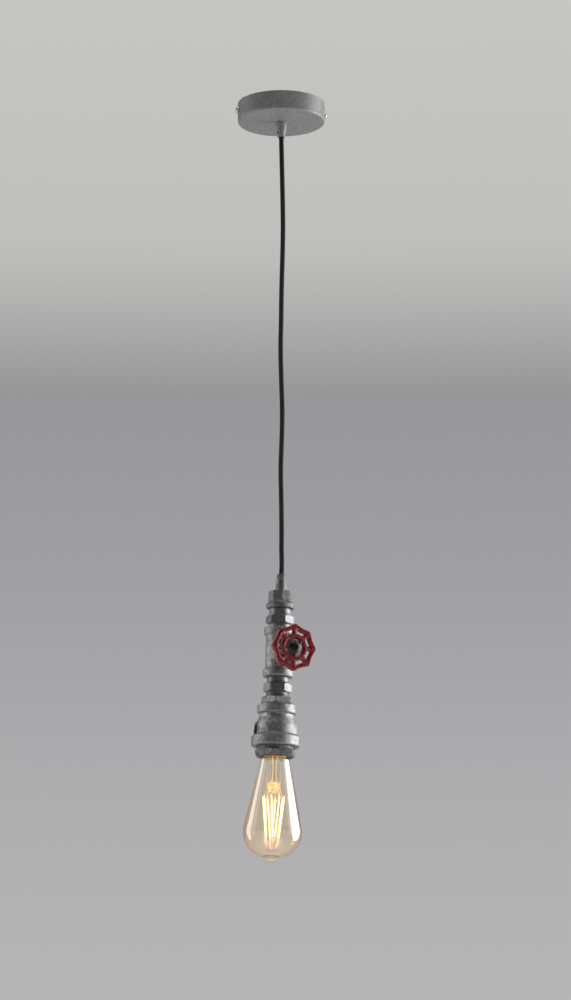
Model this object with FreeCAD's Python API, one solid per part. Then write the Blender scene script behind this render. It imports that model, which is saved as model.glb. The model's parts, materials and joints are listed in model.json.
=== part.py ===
import FreeCAD, Part
import math
import os

from FreeCAD import Placement, Rotation, Vector

# Pendant lamp made of pipe fittings, hung on a cloth-covered cord from a round ceiling cup.
# Millimetres, +Z up. The origin is on the ceiling, at the cup's centre, and X runs along the bracket.
# Headings are degrees about Z, from the front (-Y) towards +X.
# The fixture is drawn hanging straight down from its top, then leant as a whole by its own balance.
# On it a depth is the distance below the fixture's top, measured down its own axis.

# Ceiling cup and what is in it
CUP_RADIUS = 49.0
CUP_WALL = 1.0
CUP_TOP = -2.5
CUP_BOTTOM = -24.0
BRACKET_THICKNESS = 1.5
BRACKET_WIDTH = 20.0
SLOT_SPACING = 60.0
SLOT_LENGTH = 14.0
SLOT_WIDTH = 5.2
SIDE_SCREW_Z = -12.2
GRIP_EXIT_Z = -41.5
GRIP_TOP_RADIUS = 6.6
GRIP_MOUTH_RADIUS = 4.0
GRIP_SCREW_HEADING = -64.0
EARTH_CORE_SIDE = Vector(-0.955, -0.297, 0)

# Cord: its route from the cup's grip to the fixture's top
CORD_RADIUS = 2.65
CORD_ROUTE = [
    Vector(0.0, 0.0, -41.5),
    Vector(0.4, -0.5, -63.0),
    Vector(0.8, -1.0, -86.0),
    Vector(1.5, -1.0, -117.0),
    Vector(2.1, -0.2, -150.0),
    Vector(1.6, 0.9, -184.0),
    Vector(0.5, 0.9, -221.0),
    Vector(0.0, 0.1, -256.0),
    Vector(-1.0, -0.8, -290.0),
    Vector(-0.1, -1.0, -325.0),
    Vector(1.4, 0.0, -360.0),
    Vector(0.9, 0.8, -393.0),
    Vector(-0.5, 0.9, -427.0),
    Vector(0.2, 0.2, -461.0),
    Vector(0.5, -0.5, -494.0),
    Vector(0.2, -0.8, -518.0),
    Vector(0.66, -0.68, -533.5),
    Vector(0.3, -0.06, -547.5),
]
# The cord swings at its exit and, at right angles to that, part way down the run from this point.
SWING_RUN = 2
SWING_SHARE = 0.5
DOME_GAP = 0.3

# Fixture: where it hangs, and depths of its joints
FIXTURE_TOP = CORD_ROUTE[-1]
LEAN_ANGLE = 2.94
LEAN_HEADING = 210.2
CAP_TOP = 19.3
CAP_BAND = 32.3
CAP_MOUTH = 38.6
UPPER_HEX_TOP = 46.6
UPPER_HEX_BOTTOM = 55.4
TEE_TOP = 60.0
TEE_BOTTOM = 114.7
LOWER_HEX_TOP = 121.7
LOWER_HEX_BOTTOM = 131.3
BUSH_TOP = 137.1
BIG_TEE_TOP = 145.3
BIG_TEE_BOTTOM = 191.8
MOUTH_HEX_TOP = 195.2
MOUTH_HEX_BOTTOM = 203.2

# Pipe sizes: radii of threads, sockets and bands
THREAD_RADIUS = 10.4
SOCKET_RADIUS = 10.5
NIPPLE_BORE = 7.5
COLLAR_RADIUS = 11.8
TEE_BAND_RADIUS = 16.8
TEE_BODY_RADIUS = 14.4
BIG_THREAD_RADIUS = 16.4
BIG_SOCKET_RADIUS = 16.5
MOUTH_THREAD_RADIUS = 20.4
MOUTH_SOCKET_RADIUS = 20.5
MOUTH_BORE = 16.2
STUD_RADIUS = 4.9
STUD_HOLE = 5.0

# Headings of the corners of each hexagon and octagon, and of the two branches
OCTAGON_HEADING = -3.3
UPPER_HEX_HEADING = 11.7
LOWER_HEX_HEADING = 18.7
BUSH_HEX_HEADING = 41.7
MOUTH_HEX_HEADING = 40.7
BRANCH_HEADING = 13.3
OUTLET_HEADING = -86.0

# Handwheel branch: distances out from the tee's axis
BRANCH_DEPTH = (TEE_TOP + TEE_BOTTOM) / 2
BRANCH_FACE = 28.0
PLUG_FACE = 32.5
GLAND_FACE = 36.0
WHEEL_BACK = 36.9
WHEEL_FRONT = 42.1
HUB_BACK = 36.6
HUB_FRONT = 42.4
WHEEL_RADIUS = 26.1
LOBES = 8
LOBE_RADIUS = 4.3
VALLEY_RADIUS = 23.5
RIM_WIDTH = 3.8
RING_INNER = 11.6
RING_OUTER = 15.0
HUB_RADIUS = 6.0
SPOKE_RADIUS = 2.0
LOBE_TURN = -3.0
HUB_SPOKES = [43.0, 165.0, 278.0]
SPINDLE_RADIUS = 3.2
SPINDLE_HOLE = 3.3

# Side outlet of the big tee
OUTLET_DEPTH = 174.6
OUTLET_FACE = 22.6
OUTLET_RADIUS = 7.0

# Lampholder and bulb
HOLDER_TOP = 160.5
HOLDER_RADIUS = 15.7
HOLDER_BOTTOM = 202.4
BULB_TOP = 176.0
BULB_CAP_RADIUS = 13.2
BULB_CAP_BOTTOM = 203.6
BULB_TIP = 318.0
GLASS_WALL = 0.9
GLASS_SHOULDER = 205.2
GLASS_SHOULDER_RADIUS = 16.2
GLASS_DOME = 308.0
GLASS_DOME_CORNER = 37.6
GLASS_DOME_ROUNDING = 27.9
GLASS_BASE = 312.75
PIP_RADIUS = 7.9
FILAMENTS = 8
FILAMENT_TOP = 245.5
FILAMENT_BOTTOM = 292.0
FILAMENT_TOP_RADIUS = 12.0
FILAMENT_BOTTOM_RADIUS = 7.0
FILAMENT_RADIUS = 0.75
SUPPORT_FOOT = 303.5
WIRE_GAP = 0.25


def heading(angle, reach=1.0, z=0.0):
    """The point at that heading and distance from the axis."""
    turn = math.radians(angle)
    return Vector(reach * math.sin(turn), -reach * math.cos(turn), z)


def outline(corners):
    """Closed wire in the XZ plane through (radius, z, corner rounding), the rounding being optional."""
    points = [Vector(c[0], 0, c[1]) for c in corners]
    starts, ends, mids = [], [], []
    for i, point in enumerate(points):
        rounding = corners[i][2] if len(corners[i]) > 2 else 0.0
        back = (points[i - 1] - point).normalize()
        ahead = (points[(i + 1) % len(points)] - point).normalize()
        half = back.getAngle(ahead) / 2
        reach = rounding / math.tan(half) if rounding else 0.0
        starts.append(point + back * reach)
        ends.append(point + ahead * reach)
        bisector = (back + ahead).normalize() if rounding else Vector()
        mids.append(point + bisector * (rounding / math.sin(half) - rounding))
    edges = []
    for i in range(len(points)):
        if (starts[i] - ends[i]).Length > 1e-6:
            edges.append(Part.Arc(starts[i], mids[i], ends[i]).toShape())
        after = (i + 1) % len(points)
        if (starts[after] - ends[i]).Length > 1e-6:
            edges.append(Part.LineSegment(ends[i], starts[after]).toShape())
    return Part.Wire(edges)


def turned(corners):
    """Solid of revolution about Z."""
    solid = Part.Face(outline(corners)).revolve(Vector(), Vector(0, 0, 1), 360)
    if solid.Volume < 0:
        solid.reverse()
    return solid


def lathed(corners):
    """Solid of revolution drawn downwards: (radius, depth, corner rounding)."""
    return turned([(c[0], -c[1], *c[2:]) for c in corners])


def rod(radius, top, bottom):
    """Plain round bar down the axis, by depths."""
    return Part.makeCylinder(radius, bottom - top, Vector(0, 0, -bottom))


def pipe(outer, inner, top, bottom):
    return rod(outer, top, bottom).cut(rod(inner, top - 1, bottom + 1))


def polygon_bar(sides, across_flats, top, bottom, corner_heading):
    corner = across_flats / 2 / math.cos(math.pi / sides)
    ring = [heading(corner_heading + 360 * i / sides, corner, -bottom) for i in range(sides + 1)]
    return Part.Face(Part.makePolygon(ring)).extrude(Vector(0, 0, bottom - top))


def nut_bar(sides, across_flats, top, bottom, corner_heading, ends="both"):
    """Hexagon or octagon with its corners chamfered at 25 degrees, as on a nut."""
    corner = across_flats / 2 / math.cos(math.pi / sides)
    flat = across_flats / 2 * 0.985
    drop = (corner + 0.4 - flat) * math.tan(math.radians(25))
    above = drop if ends in ("both", "top") else 0.0
    below = drop if ends in ("both", "bottom") else 0.0
    wide = corner + 0.4
    cone = [(0, top), (flat if above else wide, top), (wide, top + above)]
    cone += [(wide, bottom - below), (flat if below else wide, bottom), (0, bottom)]
    cone = [c for i, c in enumerate(cone) if c != cone[i - 1]]
    return polygon_bar(sides, across_flats, top, bottom, corner_heading).common(lathed(cone))


def out_along(shape, angle, depth):
    """Turns a piece drawn downwards so that its depth runs out at that heading, from the axis."""
    shape = shape.copy()
    shape.rotate(Vector(), Vector(1, 0, 0), -90)
    shape.rotate(Vector(), Vector(0, 0, 1), angle)
    shape.translate(Vector(0, 0, -depth))
    return shape


def hung(shape):
    """Moves a piece of the fixture from the straight drawing to where it hangs."""
    shape = shape.copy()
    down = Vector(0, 0, -1)
    tilt = math.radians(LEAN_ANGLE)
    lean = heading(LEAN_HEADING, math.sin(tilt), -math.cos(tilt))
    shape.Placement = Placement(FIXTURE_TOP, Rotation(down, lean)).multiply(shape.Placement)
    return shape


def tube(route, radius, label):
    """Round tube along straight runs joined by tangent arcs, and a line on its radii and volume."""
    edges, radii, here = [], [], route[0]
    for before, corner, after in zip(route, route[1:], route[2:]):
        back, ahead = before - corner, after - corner
        reach = 0.45 * min(back.Length, ahead.Length)
        back.normalize()
        ahead.normalize()
        half_turn = (math.pi - back.getAngle(ahead)) / 2
        bend = reach / math.tan(half_turn)
        radii.append(bend)
        middle = corner + (back + ahead).normalize() * (bend / math.cos(half_turn) - bend)
        start, end = corner + back * reach, corner + ahead * reach
        edges.append(Part.LineSegment(here, start).toShape())
        edges.append(Part.Arc(start, middle, end).toShape())
        here = end
    edges.append(Part.LineSegment(here, route[-1]).toShape())
    path = Part.Wire(edges)
    section = Part.Wire(Part.makeCircle(radius, route[0], route[1] - route[0]))
    solid = path.makePipeShell([section], True, False)
    share = solid.Volume / (math.pi * radius ** 2 * path.Length)
    bends = ", ".join(f"{r:.0f}" for r in radii) if radii else "none"
    print(f"{label}: length {path.Length:.1f} mm, volume {share:.4f} of section x length, radii {bends}")
    return solid


# Ceiling cup, bracket and wiring

def ceiling_bracket():
    """Steel strap with two slots for the ceiling screws and a tapped ear at each end."""
    reach = CUP_RADIUS - CUP_WALL - 0.6
    low = SIDE_SCREW_Z - 5.5
    corners = [(-reach, low), (-reach, 0, 2.2), (reach, 0, 2.2), (reach, low)]
    inner = reach - BRACKET_THICKNESS
    corners += [(inner, low), (inner, -BRACKET_THICKNESS, 0.7)]
    corners += [(-inner, -BRACKET_THICKNESS, 0.7), (-inner, low)]
    strap = Part.Face(outline(corners)).extrude(Vector(0, BRACKET_WIDTH, 0))
    strap.translate(Vector(0, -BRACKET_WIDTH / 2, 0))
    # the ears narrow towards their ends and are cut to the cup's curve
    strap = strap.common(Part.makeCylinder(reach, 40, Vector(0, 0, -39)))
    for side in (-1, 1):
        for end in (-1, 1):
            middle = Vector(side * SLOT_SPACING / 2 + end * (SLOT_LENGTH - SLOT_WIDTH) / 2, 0, -5)
            strap = strap.cut(Part.makeCylinder(SLOT_WIDTH / 2, 10, middle))
        web = Vector(side * SLOT_SPACING / 2 - (SLOT_LENGTH - SLOT_WIDTH) / 2, -SLOT_WIDTH / 2, -5)
        strap = strap.cut(Part.makeBox(SLOT_LENGTH - SLOT_WIDTH, SLOT_WIDTH, 10, web))
    strap = strap.cut(Part.makeCylinder(5.2, 10, Vector(0, 0, -5)))
    strap = strap.cut(Part.makeCylinder(2.1, 10, Vector(13, -5.5, -5)))
    return strap.cut(Part.makeCylinder(1.95, 120, Vector(-60, 0, SIDE_SCREW_Z), Vector(1, 0, 0)))


def canopy_cup():
    """Pressed steel cup, open at the ceiling, with a rolled rim and a hole for the grip."""
    rim = CUP_RADIUS - CUP_WALL
    corners = [
        (STUD_HOLE, CUP_BOTTOM),
        (CUP_RADIUS, CUP_BOTTOM, 1.8),
        (CUP_RADIUS, CUP_TOP),
        (rim, CUP_TOP),
        (rim, CUP_BOTTOM + CUP_WALL, 0.8),
        (STUD_HOLE, CUP_BOTTOM + CUP_WALL),
    ]
    cup = turned(corners)
    holes = Part.makeCylinder(2.2, 120, Vector(-60, 0, SIDE_SCREW_Z), Vector(1, 0, 0))
    return cup.cut(holes)


def canopy_side_screws():
    """Two screws with rounded heads that hold the cup to the bracket's ears."""
    screws = []
    head = [(0, -2.9, 0), (3.4, -2.9, 1.7), (3.4, 0), (1.9, 0), (1.9, 6.5, 0.5), (0, 6.5)]
    for side in (0, 180):
        screw = lathed(head)
        screw = screw.cut(Part.makeBox(8, 0.9, 1.1, Vector(-4, -0.45, 1.9)))
        screw.rotate(Vector(), Vector(0, 1, 0), 90)
        screw.translate(Vector(CUP_RADIUS + 0.15, 0, SIDE_SCREW_Z))
        screw.rotate(Vector(), Vector(0, 0, 1), side)
        screws.append(screw)
    return Part.makeCompound(screws)


def canopy_cord_grip():
    """Cone that clamps the cord under the cup, with a bell mouth and a hollow stud above."""
    corners = [
        (CORD_RADIUS + 0.15, CUP_BOTTOM + 9.5),
        (STUD_RADIUS, CUP_BOTTOM + 9.5),
        (STUD_RADIUS, CUP_BOTTOM),
        (GRIP_TOP_RADIUS, CUP_BOTTOM),
        (GRIP_TOP_RADIUS, CUP_BOTTOM - 1.6, 0.4),
        (GRIP_MOUTH_RADIUS, GRIP_EXIT_Z),
        (CORD_RADIUS + 0.95, GRIP_EXIT_Z),
        (CORD_RADIUS + 0.35, GRIP_EXIT_Z + 1.5),
        (CORD_RADIUS + 0.35, GRIP_EXIT_Z + 3.5),
        (CORD_RADIUS + 0.15, GRIP_EXIT_Z + 3.9),
    ]
    grip = turned(corners)
    return grip.cut(grip_screw_bar(1.3, 3.2))


def grip_screw_bar(radius, length):
    """Round bar from the cord's side outwards, where the grip's set screw sits."""
    start = heading(GRIP_SCREW_HEADING, CORD_RADIUS + 0.1, GRIP_EXIT_Z + 5.0)
    return Part.makeCylinder(radius, length, start, heading(GRIP_SCREW_HEADING))


def canopy_grip_screw():
    screw = grip_screw_bar(1.2, 1.7)
    socket = heading(GRIP_SCREW_HEADING, CORD_RADIUS + 1.0, GRIP_EXIT_Z + 5.0)
    return screw.cut(Part.makeCylinder(0.6, 2.0, socket, heading(GRIP_SCREW_HEADING)))


def canopy_grip_washer():
    washer = Part.makeCylinder(9.0, 1.0, Vector(0, 0, CUP_BOTTOM + CUP_WALL))
    return washer.cut(Part.makeCylinder(STUD_HOLE, 3.0, Vector(0, 0, CUP_BOTTOM)))


def canopy_grip_nut():
    low = -(CUP_BOTTOM + CUP_WALL + 1.0)
    nut = nut_bar(6, 14.0, low - 4.0, low, 10.0, "top")
    return nut.cut(rod(STUD_HOLE, low - 5, low + 1))


def terminal_block():
    """Three-way screw terminal in the cup, behind the cord."""
    length, depth, height = 28.0, 15.0, 11.0
    corner = Vector(-length / 2, 20.0, CUP_BOTTOM + CUP_WALL)
    block = Part.makeBox(length, depth, height, corner)
    pitch = length / 3
    for way in range(3):
        middle = corner.x + pitch * (way + 0.5)
        wire_way = Vector(middle, corner.y - 1, corner.z + 4.2)
        block = block.cut(Part.makeCylinder(1.9, depth + 2, wire_way, Vector(0, 1, 0)))
        for along in (0.3, 0.7):
            well = Vector(middle, corner.y + depth * along, corner.z + 4.2)
            block = block.cut(Part.makeCylinder(1.7, height, well))
        if way:
            groove = Vector(corner.x + pitch * way - 0.8, corner.y - 1, corner.z + height - 3)
            block = block.cut(Part.makeBox(1.6, depth + 2, 4, groove))
    return block


def earth_screw():
    """Earth screw under the bracket, with the ring tag crimped on the earth core."""
    place = Vector(13, -5.5, -BRACKET_THICKNESS)
    shank = Part.makeCylinder(1.9, 5.5, place + Vector(0, 0, -5.0))
    head = Part.makeCylinder(3.6, 2.4, place + Vector(0, 0, -3.3))
    ring = Part.makeCylinder(4.4, 0.9, place + Vector(0, 0, -1.0))
    start = place + EARTH_CORE_SIDE * 3.9 + Vector(0, 0, -1.3)
    crimp = Part.makeCylinder(1.2, 3.4, start, EARTH_CORE_SIDE)
    bore = Part.makeCylinder(0.95, 3.4, start + EARTH_CORE_SIDE * 0.6, EARTH_CORE_SIDE)
    return shank.fuse([head, ring, crimp]).removeSplitter().cut(bore)


def canopy_cores():
    """The cord's three cores, from its end above the grip to the terminal block and the earth screw."""
    top = -12.0
    routes = [
        [
            (-1.2, 0.8, top), (-1.2, 0.8, -8.4), (-4.5, 5.0, -6.6), (-8.6, 10.2, -10.0),
            (-9.4, 13.2, -16.4), (-9.33, 16.6, -18.8), (-9.33, 21.2, -18.8),
        ],
        [
            (1.2, 0.8, top), (1.2, 0.8, -8.4), (1.0, 5.0, -6.4), (0.4, 10.5, -9.5),
            (0.0, 13.4, -15.8), (0.0, 16.8, -18.8), (0.0, 21.2, -18.8),
        ],
        [
            (0.0, -1.4, top), (0.0, -1.4, -8.6), (0.9, -4.6, -5.2), (2.88, -8.65, -2.8),
            (8.61, -6.87, -2.8),
        ],
    ]
    wires = []
    for i, route in enumerate(routes):
        wires.append(tube([Vector(*p) for p in route], 0.9, f"canopy core {i + 1}"))
    return Part.makeCompound(wires)


# Cord

def swing_point():
    """Where the cord's second bend is, on one of the route's runs."""
    start, end = CORD_ROUTE[SWING_RUN], CORD_ROUTE[SWING_RUN + 1]
    return start + (end - start) * SWING_SHARE


def dome(end, onward):
    """Rounded end of the cord, facing away from its next point."""
    return Part.makeSphere(CORD_RADIUS, end, end - onward, 0, 90, 360)


def cord_in_canopy():
    """The cord's end inside the grip, hollowed where the free cord's rounded end turns."""
    cord = Part.makeCylinder(CORD_RADIUS, -12.0 - GRIP_EXIT_Z, CORD_ROUTE[0])
    return cord.cut(Part.makeSphere(CORD_RADIUS + DOME_GAP, CORD_ROUTE[0], Vector(1, 0, 0)))


def cord_upper():
    """The free cord's first stretch, with a rounded end in the grip's mouth."""
    split = swing_point()
    cord = tube(CORD_ROUTE[:SWING_RUN + 1] + [split], CORD_RADIUS, "upper cord")
    cord = cord.fuse(dome(CORD_ROUTE[0], CORD_ROUTE[1]))
    return cord.cut(Part.makeSphere(CORD_RADIUS + DOME_GAP, split, Vector(0, 1, 0)))


def cord_main():
    """The free cord from its second bend to the fixture, rounded where it turns."""
    split = swing_point()
    cord = tube([split] + CORD_ROUTE[SWING_RUN + 1:], CORD_RADIUS, "main cord")
    return cord.fuse(dome(split, CORD_ROUTE[SWING_RUN + 1]))


def cord_tail():
    """The cord's last stretch, straight down through the fittings to the lampholder."""
    return rod(CORD_RADIUS, 0.0, HOLDER_TOP - 0.5)


# Fixture, from the top down

def fixture_cord_grip():
    corners = [
        (CORD_RADIUS + 0.15, 0.0, 0.0),
        (5.1, 0.0, 0.8),
        (6.3, CAP_TOP - 1.0, 0.3),
        (6.3, CAP_TOP),
        (STUD_RADIUS, CAP_TOP),
        (STUD_RADIUS, CAP_TOP + 9.0),
        (CORD_RADIUS + 0.15, CAP_TOP + 9.0),
    ]
    side = heading(180.0, CORD_RADIUS + 0.1, -5.5)
    return lathed(corners).cut(Part.makeCylinder(1.3, 4.0, side, heading(180.0)))


def fixture_grip_screw():
    side = heading(180.0, CORD_RADIUS + 0.1, -5.5)
    socket = heading(180.0, CORD_RADIUS + 1.2, -5.5)
    screw = Part.makeCylinder(1.2, 2.0, side, heading(180.0))
    return screw.cut(Part.makeCylinder(0.6, 2.0, socket, heading(180.0)))


def fixture_grip_nut():
    top = CAP_TOP + 4.0
    return nut_bar(6, 14.0, top, top + 3.6, 25.0, "bottom").cut(rod(STUD_HOLE, top - 1, top + 5))


def octagon_cap():
    """Malleable cap: an octagon over a rounded band, with a socket below."""
    octagon = nut_bar(8, 25.2, CAP_TOP, CAP_BAND + 1.0, OCTAGON_HEADING, "top")
    band = lathed([
        (0, CAP_BAND - 1.4),
        (12.6, CAP_BAND - 1.4),
        (15.4, CAP_BAND + 0.7, 1.4),
        (15.4, CAP_MOUTH, 1.6),
        (0, CAP_MOUTH),
    ])
    cap = octagon.fuse(band).removeSplitter()
    socket = rod(SOCKET_RADIUS, CAP_TOP + 4.0, CAP_MOUTH + 1)
    return cap.cut(socket).cut(rod(STUD_HOLE, CAP_TOP - 1, CAP_TOP + 6))


def nipple(top, hex_top, hex_bottom, bottom, across_flats, corner_heading, ring):
    """Hexagon nipple: threaded ends in the sockets above and below, collars beside the hexagon."""
    body = lathed([
        (NIPPLE_BORE, top - 10.6),
        (THREAD_RADIUS - 0.8, top - 10.6),
        (THREAD_RADIUS, top - 9.8),
        (THREAD_RADIUS, top),
        (COLLAR_RADIUS, top),
        (COLLAR_RADIUS, hex_top - ring),
        (COLLAR_RADIUS + 0.9, hex_top - ring + 0.6),
        (COLLAR_RADIUS + 0.9, hex_bottom + 0.6),
        (COLLAR_RADIUS, hex_bottom + 1.2),
        (COLLAR_RADIUS, bottom),
        (THREAD_RADIUS, bottom),
        (THREAD_RADIUS, bottom + 9.0),
        (THREAD_RADIUS - 0.8, bottom + 9.8),
        (NIPPLE_BORE, bottom + 9.8),
    ])
    hexagon = nut_bar(6, across_flats, hex_top, hex_bottom, corner_heading)
    return body.fuse(hexagon.cut(rod(COLLAR_RADIUS - 1, hex_top - 1, hex_bottom + 1))).removeSplitter()


def upper_nipple():
    return nipple(CAP_MOUTH, UPPER_HEX_TOP, UPPER_HEX_BOTTOM, TEE_TOP, 27.2, UPPER_HEX_HEADING, 2.0)


def lower_nipple():
    return nipple(TEE_BOTTOM, LOWER_HEX_TOP, LOWER_HEX_BOTTOM, BUSH_TOP, 27.2, LOWER_HEX_HEADING, 1.2)


def beaded_end(face, inward):
    """Corners of a rounded band at the end of a small tee, from its face towards the body."""
    return [
        (TEE_BAND_RADIUS, face, 1.5),
        (TEE_BAND_RADIUS, face + inward * 7.6, 1.3),
        (TEE_BODY_RADIUS, face + inward * 8.8),
    ]


def valve_tee():
    """Tee whose branch carries the handwheel."""
    upper, lower = beaded_end(TEE_TOP, 1), beaded_end(TEE_BOTTOM, -1)
    run = lathed([(0, TEE_TOP)] + upper + lower[::-1] + [(0, TEE_BOTTOM)])
    band = beaded_end(BRANCH_FACE, -1)[1::-1]
    branch = lathed([(0, 0), (13.4, 0), (13.4, BRANCH_FACE - 9.2)] + band + [(0, BRANCH_FACE)])
    tee = run.fuse(out_along(branch, BRANCH_HEADING, BRANCH_DEPTH)).removeSplitter()
    tee = tee.cut(rod(SOCKET_RADIUS, TEE_TOP - 1, TEE_BOTTOM + 1))
    return tee.cut(out_along(rod(SOCKET_RADIUS, 0, BRANCH_FACE + 1), BRANCH_HEADING, BRANCH_DEPTH))


def reducing_bush():
    """Hexagon bush from the nipple's thread to the big tee's, with a web for the lampholder's tube."""
    thread = rod(BIG_THREAD_RADIUS, BIG_TEE_TOP, 157.0)
    flange = nut_bar(6, 32.6, BUSH_TOP, BIG_TEE_TOP, BUSH_HEX_HEADING)
    bush = flange.fuse(thread).removeSplitter()
    bush = bush.cut(rod(SOCKET_RADIUS, BUSH_TOP - 1, 152.0))
    return bush.cut(rod(STUD_HOLE + 0.1, 151.0, 158.0))


def big_tee():
    """Reducing tee: a small rounded band above, a shoulder, and a wide band below; one side outlet."""
    body = lathed([
        (0, BIG_TEE_TOP),
        (21.2, BIG_TEE_TOP, 1.8),
        (21.2, 155.0, 1.8),
        (18.8, 156.2, 1.2),
        (19.2, 159.8, 6.0),
        (23.0, 168.6, 6.0),
        (23.8, 178.8, 1.0),
        (26.6, 180.8, 1.6),
        (26.6, BIG_TEE_BOTTOM, 1.8),
        (0, BIG_TEE_BOTTOM),
    ])
    boss = lathed([
        (0, 6),
        (9.9, 6),
        (9.9, OUTLET_FACE - 0.8),
        (8.8, OUTLET_FACE + 0.6),
        (0, OUTLET_FACE + 0.6),
    ])
    tee = body.fuse(out_along(boss, OUTLET_HEADING, OUTLET_DEPTH)).removeSplitter()
    hollow = lathed([
        (0, BIG_TEE_TOP - 1),
        (BIG_SOCKET_RADIUS, BIG_TEE_TOP - 1),
        (BIG_SOCKET_RADIUS, 158.5),
        (17.4, 160.5),
        (17.4, 181.7),
        (MOUTH_SOCKET_RADIUS, 182.3),
        (MOUTH_SOCKET_RADIUS, BIG_TEE_BOTTOM + 1),
        (0, BIG_TEE_BOTTOM + 1),
    ])
    return tee.cut(hollow).cut(out_along(rod(OUTLET_RADIUS, 10, 30), OUTLET_HEADING, OUTLET_DEPTH))


def mouth_bush():
    """Open hexagon bush that the bulb hangs out of."""
    corner = 41.0 / 2 / math.cos(math.pi / 6)
    body = rod(MOUTH_THREAD_RADIUS, 182.5, MOUTH_HEX_TOP + 0.5)
    hexagon = polygon_bar(6, 41.0, MOUTH_HEX_TOP, MOUTH_HEX_BOTTOM, MOUTH_HEX_HEADING)
    bevel = lathed([
        (0, MOUTH_HEX_TOP),
        (20.8, MOUTH_HEX_TOP),
        (corner + 0.3, MOUTH_HEX_TOP + 1.6),
        (corner + 0.3, MOUTH_HEX_BOTTOM - 2.6),
        (19.6, MOUTH_HEX_BOTTOM),
        (0, MOUTH_HEX_BOTTOM),
    ])
    bush = body.fuse(hexagon.common(bevel)).removeSplitter()
    bore = lathed([
        (0, 180),
        (MOUTH_BORE, 180),
        (MOUTH_BORE, MOUTH_HEX_BOTTOM - 0.8),
        (MOUTH_BORE + 0.8, MOUTH_HEX_BOTTOM + 0.1),
        (0, MOUTH_HEX_BOTTOM + 0.1),
    ])
    return bush.cut(bore)


# Handwheel and its branch, drawn downwards: depth is the distance out from the tee's axis

def branch_plug():
    """Hexagon plug screwed into the branch, bored for the spindle."""
    body = lathed([
        (0, 15.0),
        (THREAD_RADIUS, 15.0),
        (THREAD_RADIUS, BRANCH_FACE),
        (10.6, BRANCH_FACE),
        (10.6, PLUG_FACE - 1.0),
        (8.0, PLUG_FACE, 0.5),
        (0, PLUG_FACE),
    ])
    hexagon = nut_bar(6, 23.0, BRANCH_FACE, PLUG_FACE - 1.0, 12.0, "bottom")
    plug = body.fuse(hexagon).removeSplitter()
    plug = plug.cut(rod(SPINDLE_HOLE, 14.0, PLUG_FACE + 1))
    return plug.cut(rod(6.2, 14.0, 20.0))


def gland_nut():
    nut = nut_bar(6, 13.0, PLUG_FACE, GLAND_FACE, 4.0, "bottom")
    return nut.cut(rod(SPINDLE_HOLE, PLUG_FACE - 1, GLAND_FACE + 1))


def spindle():
    """Valve spindle: a shoulder inside the plug, a shaft, and a narrower end for the wheel."""
    shaft = lathed([
        (0, 16.6),
        (5.7, 16.6),
        (5.7, 19.6),
        (SPINDLE_RADIUS, 19.6),
        (SPINDLE_RADIUS, HUB_BACK),
        (2.6, HUB_BACK),
        (2.6, HUB_FRONT),
        (0, HUB_FRONT),
    ])
    return shaft.cut(rod(1.25, HUB_FRONT - 6.0, HUB_FRONT + 1))


def lobed_outline(inset, depth):
    """Wheel outline with rounded lobes joined by hollow arcs, drawn inset by that much."""
    lobe = LOBE_RADIUS - inset
    centre = WHEEL_RADIUS - LOBE_RADIUS
    half = math.pi / LOBES
    across, along = centre * math.sin(half), centre * math.cos(half)
    gap = VALLEY_RADIUS - along
    hollow = (across ** 2 + gap ** 2 - LOBE_RADIUS ** 2) / (2 * (LOBE_RADIUS - gap))
    far = VALLEY_RADIUS + hollow

    def spot(angle, reach):
        return Vector(reach * math.cos(angle), reach * math.sin(angle), -depth)

    edges = []
    for i in range(LOBES):
        angle = 2 * half * i
        middle, before, after = spot(angle, centre), spot(angle - half, far), spot(angle + half, far)
        following = spot(angle + 2 * half, centre)
        start = middle + (before - middle).normalize() * lobe
        end = middle + (after - middle).normalize() * lobe
        onward = following + (after - following).normalize() * lobe
        edges.append(Part.Arc(start, spot(angle, centre + lobe), end).toShape())
        edges.append(Part.Arc(end, spot(angle + half, VALLEY_RADIUS - inset), onward).toShape())
    return Part.Wire(edges)


def spoke(start, end, angle, depth):
    turn = math.radians(angle)
    aim = Vector(math.cos(turn), math.sin(turn), 0)
    return Part.makeCylinder(SPOKE_RADIUS, end - start, aim * start + Vector(0, 0, -depth), aim)


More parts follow.
